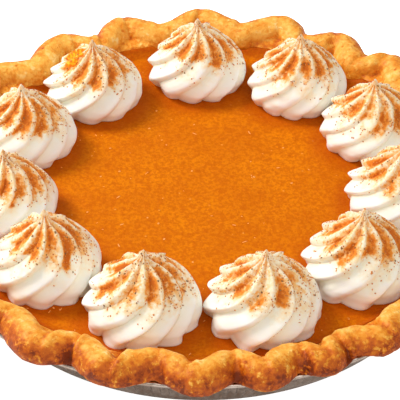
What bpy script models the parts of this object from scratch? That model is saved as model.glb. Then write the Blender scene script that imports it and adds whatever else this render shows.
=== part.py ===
"""Sweet potato pie in its foil tin, with a fluted crust and a ring of piped whipped cream rosettes.

Metres, +Z up. The origin is the centre of the tin's underside, and -Y is the front of the pie.
Angles are in degrees, counter-clockwise from +X as seen from above.
"""

import math
import random

import bmesh
import bpy
import numpy as np

PIE_NAME = "sweet_potato_pie"
GAP = 0.0003  # air left between two pieces that touch

# The foil tin: a thin pressed wall, a flat ledge and a rolled bead round it.
TIN_BASE_R = 0.1020
TIN_LEDGE_R = 0.1148  # where the wall turns outwards into the ledge
TIN_RIM_R = 0.1225
TIN_LEDGE_TOP_Z = 0.0270
TIN_SHEET = 0.0009
TIN_SHEET_ACROSS = 0.0010  # the sloping wall measured level
TIN_BEAD_R = 0.0011
TIN_BEAD_SINK = 0.00065  # how far the bead's middle lies under the ledge's top
TIN_STEPS = 108

# The crust: a pastry shell that lines the tin, and a thick rope of pastry pinched into flutes on its edge.
SHELL_CLEAR = 0.0018  # the tin's sheet and the air next to it, measured level
SHELL_WALL = 0.0042
SHELL_FLOOR = 0.0036
SHELL_UNDERSIDE_Z = TIN_SHEET + GAP
SHELL_FLOOR_Z = SHELL_UNDERSIDE_Z + SHELL_FLOOR
ROPE_R = 0.0073
ROPE_LIFT_Z = 0.0300  # height of the rope's middle
ROPE_MEAN_R = 0.1178  # distance of the rope's middle from the pie's axis
ROPE_RISE = 0.0007  # how much higher the outward bends stand than the inward ones
SHELL_GAP = 0.00045  # air between the pastry and the tin's ledge and bead
BEAD_CLEAR = 0.0009  # height of the pastry's underside over the ledge, where it crosses the bead
LIP_WIDTH = 0.0020
LIP_ROUND = 0.0009
LIP_DROOP = 0.0018  # how far an outward bend hangs down past the tin's bead
FLUTE_STEPS = 6
FINE_STEPS = 60  # points in each flute of the line that the rope's surface is worked out from
# Outward bends of the rope: the angle of each, how far it leans out from the mean, how far the rope
# swings in and out there, and how much higher it stands.
BACK_FLUTES = (
    (44.6, 0.0007, 0.0039, 0.0004),
    (57.8, 0.0007, 0.0039, 0.0004),
    (72.1, 0.0006, 0.0039, 0.0004),
    (90.0, 0.0016, 0.0039, 0.0010),
    (108.2, 0.0014, 0.0039, 0.0008),
    (123.1, -0.0007, 0.0039, -0.0004),
    (142.4, 0.0012, 0.0039, 0.0007),
)
FRONT_FLUTES = (
    (237.9, 0.0003, 0.0032, -0.0008),
    (252.9, 0.0005, 0.0036, -0.0003),
    (269.4, 0.0006, 0.0037, 0.0),
    (281.9, 0.0004, 0.0034, -0.0006),
    (292.9, 0.0, 0.0029, -0.0015),
    (304.9, 0.0, 0.0029, -0.0016),
)
FLUTES_PER_SIDE = 5  # evenly pinched ones on each side, between the front and the back
FLUTE_UNEVENNESS = 0.0005
THICKNESS_UNEVENNESS = 0.6  # of that of its place
CRUST_SEED = 4

# The baked sweet potato filling, level in the middle and risen against the pastry at its edge.
FILLING_TOP_Z = 0.0260
FILLING_LEVEL_R = 0.1042  # where it starts to rise
FILLING_EDGE_R = 0.1086
FILLING_BACK_EDGE_Z = 0.0300
FILLING_FRONT_EDGE_Z = 0.0278
FILLING_CLEAR = 0.0004  # air between the filling's edge and the pastry
FILLING_FOOT_R = 0.0945

# The rosettes of cream, clockwise from the back: angle, distance from the axis, radius, height, how far
# the drawn-out tip leans to +X, and the side that one of the ridges faces at the tip.
ROSETTES = (
    (91.6, 0.0842, 0.0227, 0.0336, 0.0002, -60.0),
    (59.2, 0.0833, 0.0226, 0.0337, 0.0016, -87.0),
    (27.2, 0.0836, 0.0228, 0.0322, 0.0008, -77.0),
    (-6.6, 0.0838, 0.0231, 0.0334, 0.0010, -82.0),
    (-41.2, 0.0838, 0.0230, 0.0343, 0.0012, -85.0),
    (-73.3, 0.0833, 0.0234, 0.0335, 0.0006, -70.0),
    (-106.9, 0.0835, 0.0234, 0.0335, 0.0014, -82.0),
    (-138.6, 0.0841, 0.0227, 0.0341, 0.0003, -85.0),
    (-170.0, 0.0842, 0.0223, 0.0331, 0.0005, -93.0),
    (156.9, 0.0849, 0.0221, 0.0328, -0.0004, -87.0),
    (126.0, 0.0843, 0.0226, 0.0327, 0.0003, -85.0),
)
RIDGES = 10
RIDGE_STEPS = 4
RIDGE_TWIST_DEG = 82.0  # how far a ridge winds round between the foot and the tip
TWIST_LOW_DOWN = 0.90  # share of that twist in the bulging lower part
TWIST_END_SHARE = 0.80  # of the height, where that part ends
RIDGE_UNEVENNESS = 0.035
FLICK_DEG = 20.0  # side on which the last pull of the nozzle leaves a raised flap
FLICK_REACH = 0.30  # of the rosette's radius there
FLICK_SHARE = 0.79  # of its height
FLICK_WIDTH = 0.07  # 1 less the cosine of half the angle that the flap takes up
# A rosette's outline, foot to tip: share of its height, share of its radius, and how deep the grooves
# between the ridges go as a share of that radius.
ROSETTE_OUTLINE = (
    (0.00, 0.87, 0.10),
    (0.08, 0.95, 0.10),
    (0.20, 1.00, 0.10),
    (0.36, 0.92, 0.12),
    (0.52, 0.74, 0.16),
    (0.68, 0.50, 0.24),
    (FLICK_SHARE, 0.32, 0.34),
    (0.89, 0.13, 0.38),
)

FOIL = ("aluminium_foil", (0.42, 0.35, 0.30), 0.35, 1.0)
PASTRY = ("baked_pastry", (0.80, 0.42, 0.12), 0.60, 0.0)
CUSTARD = ("sweet_potato_custard", (0.78, 0.20, 0.01), 0.45, 0.0)
CREAM = ("whipped_cream", (0.93, 0.87, 0.80), 0.50, 0.0)


def clear_scene():
    for old in list(bpy.data.objects):
        bpy.data.objects.remove(old, do_unlink=True)


def make_collection(name):
    collection = bpy.data.collections.new(name)
    bpy.context.scene.collection.children.link(collection)
    return collection


def make_material(name, colour, roughness, metallic):
    material = bpy.data.materials.new(name)
    material.use_nodes = True
    shader = material.node_tree.nodes["Principled BSDF"]
    shader.inputs["Base Color"].default_value = (*colour, 1.0)
    shader.inputs["Roughness"].default_value = roughness
    shader.inputs["Metallic"].default_value = metallic
    material.diffuse_color = (*colour, 1.0)
    return material


def add_object(name, mesh, material, collection):
    """Put a mesh into the pie's collection as its own piece, shaded smooth up to its sharp edges."""
    mesh.materials.append(material)
    mesh.shade_smooth()
    mesh.set_sharp_from_angle(angle=math.radians(50))
    piece = bpy.data.objects.new(name, mesh)
    collection.objects.link(piece)
    return piece


def turned(name, profile, steps, material, collection):
    """Turn a profile of (radius, z) points about the Z axis with a Screw modifier.

    The profile runs down its outer side, top to bottom, from the axis to the axis.
    """
    edges = [(i, i + 1) for i in range(len(profile) - 1)]
    mesh = bpy.data.meshes.new(name)
    mesh.from_pydata([(radius, 0.0, z) for radius, z in profile], edges, [])
    mesh.materials.append(material)
    piece = bpy.data.objects.new(name, mesh)
    collection.objects.link(piece)
    screw = piece.modifiers.new("Turn", "SCREW")
    screw.steps = steps
    screw.render_steps = steps
    screw.use_merge_vertices = True
    screw.merge_threshold = 0.00001
    screw.use_smooth_shade = True


def loft(name, rings, first_centre, last_centre):
    """A closed mesh through rings of points, counter-clockwise from above, with a fan at each end."""
    shape = bmesh.new()
    rows = [[shape.verts.new(point) for point in ring] for ring in rings]
    start = shape.verts.new(first_centre)
    end = shape.verts.new(last_centre)
    around = len(rows[0])
    for here in range(around):
        there = (here + 1) % around
        shape.faces.new((start, rows[0][there], rows[0][here]))
        for lower, upper in zip(rows, rows[1:]):
            shape.faces.new((lower[here], lower[there], upper[there], upper[here]))
        shape.faces.new((rows[-1][here], rows[-1][there], end))
    mesh = bpy.data.meshes.new(name)
    shape.to_mesh(mesh)
    shape.free()
    return mesh


def ring_points(angles, radii, heights):
    """Points at these angles (radians), distances from the Z axis and heights."""
    return np.stack([radii * np.cos(angles), radii * np.sin(angles), heights + 0 * angles], axis=1)


def blend(share):
    """0 to 1 with a level start and end."""
    share = np.clip(share, 0.0, 1.0)
    return share * share * (3.0 - 2.0 * share)


# --- the foil tin -------------------------------------------------------------------------------------


def tin_wall_r(z):
    """Outer radius of the tin's sloping wall."""
    slope = (TIN_LEDGE_R - TIN_BASE_R) / (TIN_LEDGE_TOP_Z - TIN_SHEET)
    return TIN_BASE_R + slope * z


def shell_outer_r(z):
    return tin_wall_r(z) - SHELL_CLEAR


def shell_inner_r(z):
    return shell_outer_r(z) - SHELL_WALL


def make_tin(material, collection):
    top = TIN_LEDGE_TOP_Z
    bead = TIN_RIM_R - TIN_BEAD_R
    bead_z = top - TIN_BEAD_SINK
    profile = [
        (0.0, TIN_SHEET),
        (tin_wall_r(TIN_SHEET) - TIN_SHEET_ACROSS, TIN_SHEET),
        (tin_wall_r(top) - TIN_SHEET_ACROSS, top),
        (bead - TIN_BEAD_R, top),
        (bead, bead_z + TIN_BEAD_R),
        (TIN_RIM_R, bead_z),
        (bead, bead_z - TIN_BEAD_R),
        (bead - TIN_BEAD_R, top - TIN_SHEET),
        (tin_wall_r(top - TIN_SHEET), top - TIN_SHEET),
        (tin_wall_r(0.0), 0.0),
        (0.0, 0.0),
    ]
    turned("tin", profile, TIN_STEPS, material, collection)


# --- the crust ----------------------------------------------------------------------------------------


def evenly_between(first, last):
    """The flutes of one side, each number spread evenly from one flute to another."""
    return np.linspace(first, last, FLUTES_PER_SIDE + 2)[1:-1]


def all_flutes():
    """Angle in radians of every outward bend of the rope, once round, and its lean, swing and rise."""
    left = evenly_between(BACK_FLUTES[-1], FRONT_FLUTES[0])
    right = evenly_between(FRONT_FLUTES[-1], np.add(BACK_FLUTES[0], (360.0, 0.0, 0.0, 0.0)))
    flutes = np.array([*BACK_FLUTES, *left, *FRONT_FLUTES, *right])
    return np.radians(flutes[:, 0]), flutes[:, 1:]


def rope_path(steps):
    """The rope's middle line at `steps` points in each flute: angle, radius, height, thickness, and how
    far outwards it has swung, from 0 on an inward bend to 1 on an outward one."""
    draw = random.Random(CRUST_SEED)
    bends, shapes = all_flutes()
    count = len(bends)
    lumps = FLUTE_UNEVENNESS * np.array([[draw.uniform(-1.0, 1.0) for _ in range(3)] for _ in bends])
    points = []
    for flute in range(count):
        following = (flute + 1) % count
        width = (bends[following] - bends[flute]) % (2.0 * math.pi)
        for step in range(steps):
            share = step / steps
            wave = math.cos(2.0 * math.pi * share)
            near = blend(share)
            lump = (1.0 - near) * lumps[flute] + near * lumps[following]
            lean, swing, rise = (1.0 - near) * shapes[flute] + near * shapes[following]
            angle = bends[flute] + share * width
            radius = ROPE_MEAN_R + swing * wave + lean + lump[0]
            height = ROPE_LIFT_Z + ROPE_RISE * wave + rise + lump[1]
            points.append((angle, radius, height, ROPE_R + THICKNESS_UNEVENNESS * lump[2], 0.5 + 0.5 * wave))
    return np.array(points).T


def rope_side(angles, section_deg, path):
    """Distance from the pie's axis to the rope's surface, at one angle round its own section.

    0 degrees is straight outwards and 180 straight inwards. The surface is what discs of the rope's
    width, strung along its middle line, reach in each direction.
    """
    path_angles, path_radii, _, thickness, _ = path
    width = thickness * abs(math.cos(math.radians(section_deg)))
    turn = angles[:, None] - path_angles[None, :]
    across = path_radii * np.sin(turn)
    inside = width**2 - across**2
    reach = np.sqrt(np.maximum(inside, 0.0))
    along = path_radii * np.cos(turn)
    met = (inside >= 0.0) & (np.cos(turn) > 0.0)
    if abs(section_deg) < 90.0:
        return np.where(met, along + reach, 0.0).max(axis=1)
    return np.where(met, along - reach, 1.0).min(axis=1)


def filling_edge(angles, path):
    """Radius and height of the filling's edge: its full reach, or less where the rope bulges inwards."""
    edge_r = np.minimum(FILLING_EDGE_R, rope_side(angles, 180.0, path) - 2.0 * FILLING_CLEAR)
    towards_back = 0.5 + 0.5 * np.sin(angles)
    full_z = FILLING_FRONT_EDGE_Z + (FILLING_BACK_EDGE_Z - FILLING_FRONT_EDGE_Z) * towards_back
    risen = (edge_r - FILLING_LEVEL_R) / (FILLING_EDGE_R - FILLING_LEVEL_R)
    return edge_r, FILLING_TOP_Z + (full_z - FILLING_TOP_Z) * risen


def make_crust(material, collection):
    angles, middle_r, middle_z, thickness, out = rope_path(FLUTE_STEPS)
    fine_path = rope_path(FINE_STEPS)
    outer_r = rope_side(angles, 0.0, fine_path)
    hang = blend(out)  # an outward bend hangs down past the tin's bead
    ledge_z = TIN_LEDGE_TOP_Z + SHELL_GAP
    over_bead_r = np.minimum(TIN_RIM_R + SHELL_GAP, outer_r - LIP_WIDTH)
    over_bead_z = TIN_LEDGE_TOP_Z + BEAD_CLEAR
    lip_r = 0.5 * (over_bead_r + outer_r)
    lip_z = over_bead_z - LIP_DROOP * hang**1.5
    side_r = outer_r - LIP_ROUND * hang
    side_z = lip_z + LIP_ROUND * (1.0 + hang)
    edge_r, edge_z = filling_edge(angles, fine_path)

    def over_the_top(section_deg):
        rise = thickness * math.sin(math.radians(section_deg))
        return ring_points(angles, rope_side(angles, section_deg, fine_path), middle_z + rise)

    rings = [
        ring_points(angles, shell_outer_r(SHELL_UNDERSIDE_Z), SHELL_UNDERSIDE_Z),
        ring_points(angles, shell_outer_r(ledge_z), ledge_z),
        ring_points(angles, over_bead_r, over_bead_z),
        ring_points(angles, lip_r, lip_z),
        ring_points(angles, side_r, side_z),
        over_the_top(8.0),
        over_the_top(48.0),
        ring_points(angles, middle_r, middle_z + thickness),
        over_the_top(132.0),
        over_the_top(175.0),
        ring_points(angles, edge_r + FILLING_CLEAR, edge_z + FILLING_CLEAR),
        ring_points(angles, shell_inner_r(SHELL_FLOOR_Z), SHELL_FLOOR_Z),
    ]
    mesh = loft("crust", rings, (0.0, 0.0, SHELL_UNDERSIDE_Z), (0.0, 0.0, SHELL_FLOOR_Z))
    add_object("crust", mesh, material, collection)


# --- the filling --------------------------------------------------------------------------------------


def make_filling(material, collection):
    """The custard: a level top that rises at its edge, where it baked onto the pastry."""
    angles = rope_path(FLUTE_STEPS)[0]
    floor_z = SHELL_FLOOR_Z + GAP
    edge_r, edge_z = filling_edge(angles, rope_path(FINE_STEPS))
    rings = [
        ring_points(angles, FILLING_FOOT_R, floor_z),
        ring_points(angles, edge_r, edge_z),
        ring_points(angles, FILLING_LEVEL_R, FILLING_TOP_Z),
    ]
    mesh = loft("filling", rings, (0.0, 0.0, floor_z), (0.0, 0.0, FILLING_TOP_Z))
    add_object("filling", mesh, material, collection)


# --- the cream rosettes -------------------------------------------------------------------------------


def ridge_turn(share):
    """How far round, in radians, the ridges have wound at this share of the height: most of it low down."""
    low_down = TWIST_LOW_DOWN * blend(share / TWIST_END_SHARE)
    return math.radians(RIDGE_TWIST_DEG) * (low_down + (1.0 - TWIST_LOW_DOWN) * share)


def ridge_groove(phase, share):
    """Groove depth from 0 on a ridge to 1 between two: broad rolls at the foot, narrow fins at the tip."""
    cosine = 0.5 - 0.5 * np.cos(2.0 * np.pi * phase)
    sharpness = 1.5 - 0.8 * share
    return cosine**sharpness


def flick_bulge(angles, share, phase):
    """The flap that stands out on the ridges of one side, near the tip."""
    if share != FLICK_SHARE:
        return 0.0
    facing = blend((np.cos(angles - math.radians(FLICK_DEG)) - 1.0 + FLICK_WIDTH) / FLICK_WIDTH)
    return FLICK_REACH * facing * (phase == 0.0)


def rosette_rings(radius, height, lean, tip_ridge_deg, number):
    draw = random.Random(number)
    unevenness = np.array([draw.uniform(-RIDGE_UNEVENNESS, RIDGE_UNEVENNESS) for _ in range(RIDGES)])
    first_ridge = math.radians(tip_ridge_deg) - ridge_turn(1.0)
    steps = np.arange(RIDGES * RIDGE_STEPS)
    phase = (steps % RIDGE_STEPS) / RIDGE_STEPS
    nearest = ((steps + RIDGE_STEPS // 2) // RIDGE_STEPS) % RIDGES
    own_size = unevenness[nearest] * (phase != 0.5)
    rings = []
    for share, radius_share, groove in ROSETTE_OUTLINE:
        angles = first_ridge + 2.0 * np.pi * steps / len(steps) + ridge_turn(share)
        swell = own_size - groove * ridge_groove(phase, share) + flick_bulge(angles, share, phase)
        points = ring_points(angles, radius * radius_share * (1.0 + swell), share * height)
        points[:, 0] += lean * share**2
        rings.append(points)
    return rings


def make_rosette(number, place, material, collection):
    angle_deg, distance, radius, height, lean, tip_ridge_deg = place
    rings = rosette_rings(radius, height, lean, tip_ridge_deg, number)
    mesh = loft("cream", rings, (0.0, 0.0, 0.0), (lean, 0.0, height))
    rosette = add_object(f"cream_{number:02d}", mesh, material, collection)
    angle = math.radians(angle_deg)
    rosette.location = (distance * math.cos(angle), distance * math.sin(angle), FILLING_TOP_Z + GAP)


def make_pie():
    clear_scene()
    pie = make_collection(PIE_NAME)
    make_tin(make_material(*FOIL), pie)
    make_crust(make_material(*PASTRY), pie)
    make_filling(make_material(*CUSTARD), pie)
    cream = make_material(*CREAM)
    for number, place in enumerate(ROSETTES, start=1):
        make_rosette(number, place, cream, pie)


make_pie()
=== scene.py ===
"""Looks of the sweet potato pie: pressed foil tin, baked crust, custard, piped cream and cinnamon.

Metres, +Z up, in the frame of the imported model: the origin is the centre of the tin's underside and -Y is
the front of the pie. Angles in tables are in degrees, counter-clockwise from +X as seen from above.
"""

import math
import random

import bpy
import numpy as np
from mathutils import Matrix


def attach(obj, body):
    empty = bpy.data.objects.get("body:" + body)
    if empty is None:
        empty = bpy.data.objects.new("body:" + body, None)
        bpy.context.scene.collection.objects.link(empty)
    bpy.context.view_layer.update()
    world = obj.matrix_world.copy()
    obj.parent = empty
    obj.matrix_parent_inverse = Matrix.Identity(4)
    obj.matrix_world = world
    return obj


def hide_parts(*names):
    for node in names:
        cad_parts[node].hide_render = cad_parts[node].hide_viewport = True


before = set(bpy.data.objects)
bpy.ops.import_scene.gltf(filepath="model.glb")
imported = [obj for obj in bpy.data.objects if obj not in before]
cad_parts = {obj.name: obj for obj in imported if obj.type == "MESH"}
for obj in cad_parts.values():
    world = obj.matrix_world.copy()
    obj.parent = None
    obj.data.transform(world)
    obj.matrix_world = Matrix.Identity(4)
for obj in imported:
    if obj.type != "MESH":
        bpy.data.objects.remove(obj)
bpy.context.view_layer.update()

ROOT = "root"
GAP = 0.0003  # air between two pieces that touch

# The tin: a pressed wall with ribs, a flat ledge and a rolled bead.
TIN_BASE_R = 0.1020
TIN_LEDGE_R = 0.1148
TIN_RIM_R = 0.1225
TIN_LEDGE_TOP_Z = 0.0270
TIN_SHEET = 0.0009
TIN_BEAD_R = 0.0011
TIN_BEAD_SINK = 0.00065
TIN_RIBS = 190
TIN_STEPS_A_RIB = 8
TIN_RIB_DEPTH = 0.00055
TIN_RIBS_FROM_Z = 0.003
TIN_RIB_RUN_OUT = 0.003
TIN_RIB_WANDER = 1.6  # radians by which the ribs' pitch strays
TIN_LEDGE_RIPPLE = 0.00008

# The crust: a shell in the tin and a rope of pastry pinched into flutes on its edge.
SHELL_CLEAR = 0.0018
SHELL_WALL = 0.0042
SHELL_UNDERSIDE_Z = TIN_SHEET + GAP
SHELL_FLOOR_Z = SHELL_UNDERSIDE_Z + 0.0036
ROPE_R = 0.0073
ROPE_LIFT_Z = 0.0300
ROPE_MEAN_R = 0.1178
ROPE_RISE = 0.0007
SHELL_GAP = 0.00045
BEAD_CLEAR = 0.0009
LIP_WIDTH = 0.0020
LIP_ROUND = 0.0009
LIP_DROOP = 0.0018
FLUTE_STEPS = 56
FINE_STEPS = 130
ROPE_SECTIONS_DEG = np.linspace(14.0, 174.0, 27)  # round the rope's section, from outside over the top
# Outward bends of the rope: angle, lean outwards, swing in and out, and extra height.
BACK_FLUTES = (
    (44.6, 0.0007, 0.0039, 0.0004),
    (57.8, 0.0007, 0.0039, 0.0004),
    (72.1, 0.0006, 0.0039, 0.0004),
    (90.0, 0.0016, 0.0039, 0.0010),
    (108.2, 0.0014, 0.0039, 0.0008),
    (123.1, -0.0007, 0.0039, -0.0004),
    (142.4, 0.0012, 0.0039, 0.0007),
)
FRONT_FLUTES = (
    (237.9, 0.0003, 0.0032, -0.0008),
    (252.9, 0.0005, 0.0036, -0.0003),
    (269.4, 0.0006, 0.0037, 0.0),
    (281.9, 0.0004, 0.0034, -0.0006),
    (292.9, 0.0, 0.0029, -0.0015),
    (304.9, 0.0, 0.0029, -0.0016),
)
FLUTES_PER_SIDE = 5
FLUTE_UNEVENNESS = 0.0005
THICKNESS_UNEVENNESS = 0.6
CRUST_SEED = 4
# The pinches: a crease runs over the rope at each bend, deepest on the side where the bend folds the pastry
# together. Its depths are at that side, on top and at the far side.
CREASE_DEPTHS = (0.0019, 0.0012, 0.0003)
CREASE_STEEP_SIDE = 0.0009
CREASE_GENTLE_SIDE = 0.0026
CREASE_LIP = 0.0006
CREASE_UNEVENNESS = 0.5
CREASE_WANDER = 0.12  # of the way from one outward bend to the next
CREASE_FADE_AT_BACK = 0.55  # how much shallower they are at the back
# How brown it is: baked everywhere, and baked plus painted shade low outside, low inside and in the folds.
BAKE = 0.11
BAKE_AND_SHADE_OUTSIDE = 0.74
BAKE_AND_SHADE_INSIDE = 0.20
BAKE_AND_SHADE_IN_FOLDS = 0.40

# The filling.
FILLING_TOP_Z = 0.0260
FILLING_LEVEL_R = 0.1042
FILLING_EDGE_R = 0.1086
FILLING_BACK_EDGE_Z = 0.0300
FILLING_FRONT_EDGE_Z = 0.0278
FILLING_CLEAR = 0.0004
FILLING_FOOT_R = 0.0945
FILLING_RINGS = 84
# How far the painted shade round the cream reaches.
SHADE_ROUND_CREAM_WIDTH = 0.009

# The rosettes, clockwise from the back: angle, distance from the axis, radius, height, the tip's lean to +X,
# the side that one ridge faces at the tip, how large the flap left by the nozzle is, and how thickly the
# cinnamon lies.
ROSETTES = (
    (91.6, 0.0842, 0.0227, 0.0336, 0.0002, -60.0, 0.5, 0.9),
    (59.2, 0.0833, 0.0226, 0.0337, 0.0016, -87.0, 0.6, 1.0),
    (27.2, 0.0836, 0.0228, 0.0322, 0.0008, -77.0, 0.5, 1.1),
    (-6.6, 0.0838, 0.0231, 0.0334, 0.0010, -82.0, 0.5, 1.0),
    (-41.2, 0.0838, 0.0230, 0.0343, 0.0012, -85.0, 0.6, 1.0),
    (-73.3, 0.0833, 0.0234, 0.0335, 0.0006, -70.0, 0.7, 0.9),
    (-106.9, 0.0835, 0.0234, 0.0335, 0.0014, -82.0, 1.0, 1.0),
    (-138.6, 0.0841, 0.0227, 0.0341, 0.0003, -85.0, 1.0, 1.1),
    (-170.0, 0.0842, 0.0223, 0.0331, 0.0005, -93.0, 0.6, 1.0),
    (156.9, 0.0849, 0.0221, 0.0328, -0.0004, -87.0, 0.5, 0.9),
    (126.0, 0.0843, 0.0226, 0.0327, 0.0003, -85.0, 0.4, 1.1),
)
RIDGES = 10
RIDGE_STEPS = 22
ROSETTE_RINGS = 92
RIDGE_TWIST_DEG = 82.0
TWIST_LOW_DOWN = 0.90
TWIST_END_SHARE = 0.80
RIDGE_UNEVENNESS = 0.035
SPILLED_ON = 11  # the rosette on which a spoonful of spice fell in one place
SPILL_SIDE = math.radians(185.0)
RIDGE_CROWDING = 0.10  # radians by which ridges crowd together on one side and spread on the other
FLICK_DEG = 35.0  # side on which the nozzle's last pull left a flap
FLAP_REACH = 0.17
SHOULDER_SIDE = 1.85  # radians on from the flap
SHOULDER_REACH = 0.065
# How rough the cream is: broad lumps, fine strands along the ridges, and crumbs where cinnamon lies, each as
# a share of the radius.
LUMPS = 0.11
STRANDS = 0.024
CRUMBS = 0.045
FRONT_FOOT_SPREAD = 0.11  # how much wider the foot of a rosette at the front has spread
FOOT_SPREAD_TOP = 0.2
# Over the share of the height: the crests' radius as a share of the widest, the grooves' depth as a share of
# that radius, how rounded the ridges are between grooves, and where the nozzle's flaps stand out.
CREST_CURVE = (
    (0.0, 0.88), (0.06, 0.93), (0.17, 1.0), (0.31, 0.96), (0.45, 0.84), (0.60, 0.635), (0.72, 0.45),
    (0.79, 0.30), (0.84, 0.165), (0.89, 0.09), (0.95, 0.045), (1.0, 0.0),
)
GROOVE_CURVE = (
    (0.0, 0.13), (0.10, 0.12), (0.30, 0.10), (0.50, 0.12), (0.66, 0.19), (0.80, 0.34), (0.90, 0.40),
    (1.0, 0.2),
)
ROUNDNESS_CURVE = ((0.0, 0.75), (0.25, 0.50), (0.5, 0.28), (0.7, 0.15), (0.85, 0.05), (1.0, 0.05))
VALLEY_WIDTH = 1.25  # above 1 the floor of a groove is broad, at 1 it is a sharp line
FLAP_CURVE = ((0.0, 0.0), (0.70, 0.0), (0.78, 0.40), (0.825, 1.0), (0.855, 0.35), (0.89, 0.0), (1.0, 0.0))
SHOULDER_CURVE = ((0.0, 0.0), (0.64, 0.0), (0.75, 0.50), (0.82, 1.0), (0.855, 0.35), (0.89, 0.0), (1.0, 0.0))
ROLL_OVER = 0.17  # how far the crest of a roll hangs towards the groove below it, as a share of its width
# The cinnamon: it lies from this share of the height up, a little lower on the side it was shaken from, and
# its edge strays up and down by patches.
DUST_FROM = 0.42
DUST_SIDE = 0.3  # radians
DUST_LOWER_ON_SIDE = 0.04
DUST_EDGE_STRAY = 0.75
# In each valley it has run together into a drift: where its middle is, and half its length, as shares of
# the height.
DRIFT_MIDDLE = 0.54
DRIFT_MIDDLE_SPREAD = 0.14
DRIFT_REACH = 0.09
DRIFT_REACH_SPREAD = 0.12

# Camera and light.
CAMERA_PLACE = (-0.00111, -0.64934, 0.53029)
CAMERA_TILT_DEG = 51.9
CAMERA_LENS_MM = 172.42
SENSOR_MM = 36.0
FLOOR_HALF = 4.0
FLOOR_GLOW = 0.85


def tone(red, green, blue):
    """A colour given by its screen values, 0 to 255, as the linear RGBA that shaders take."""
    shares = (red / 255.0, green / 255.0, blue / 255.0)
    return (*(s / 12.92 if s <= 0.04045 else ((s + 0.055) / 1.055) ** 2.4 for s in shares), 1.0)


# --- writing node trees ---

SOCKET_KINDS = {
    "number": "NodeSocketFloat",
    "count": "NodeSocketInt",
    "vector": "NodeSocketVector",
    "shape": "NodeSocketGeometry",
    "material": "NodeSocketMaterial",
    "name": "NodeSocketString",
}


def arithmetic(operation, swapped=False):
    """A method of Wire that adds one Math node, with its two values in order or swapped."""

    def method(wire, other):
        values = (other, wire) if swapped else (wire, other)
        return wire.bench.calc(operation, *values)

    return method


class Wire:
    """A value in a node tree. Arithmetic on it adds Math nodes, so that a rule reads as a formula."""

    def __init__(self, bench, socket):
        self.bench = bench
        self.socket = socket

    __add__ = arithmetic("ADD")
    __radd__ = arithmetic("ADD", swapped=True)
    __sub__ = arithmetic("SUBTRACT")
    __rsub__ = arithmetic("SUBTRACT", swapped=True)
    __mul__ = arithmetic("MULTIPLY")
    __rmul__ = arithmetic("MULTIPLY", swapped=True)
    __truediv__ = arithmetic("DIVIDE")
    __rtruediv__ = arithmetic("DIVIDE", swapped=True)
    __pow__ = arithmetic("POWER")

    def cosine(self):
        return self.bench.calc("COSINE", self)

    def sine(self):
        return self.bench.calc("SINE", self)

    def ramp(self, low, high):
        """Smoothly from 0 to 1 while the value goes from low to high."""
        return self.bench.wire("ShaderNodeMapRange", self, low, high, interpolation_type="SMOOTHSTEP")

    def curve(self, points):
        """A smooth curve through (value, height) points, both from 0 to 1."""
        node = self.bench.node("ShaderNodeFloatCurve", 1.0, self)
        line = node.mapping.curves[0]
        for place, point in zip((0, 1), (points[0], points[-1])):
            line.points[place].location = point
        for point in points[1:-1]:
            line.points.new(*point)
        node.mapping.update()
        return Wire(self.bench, node.outputs[0])


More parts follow.
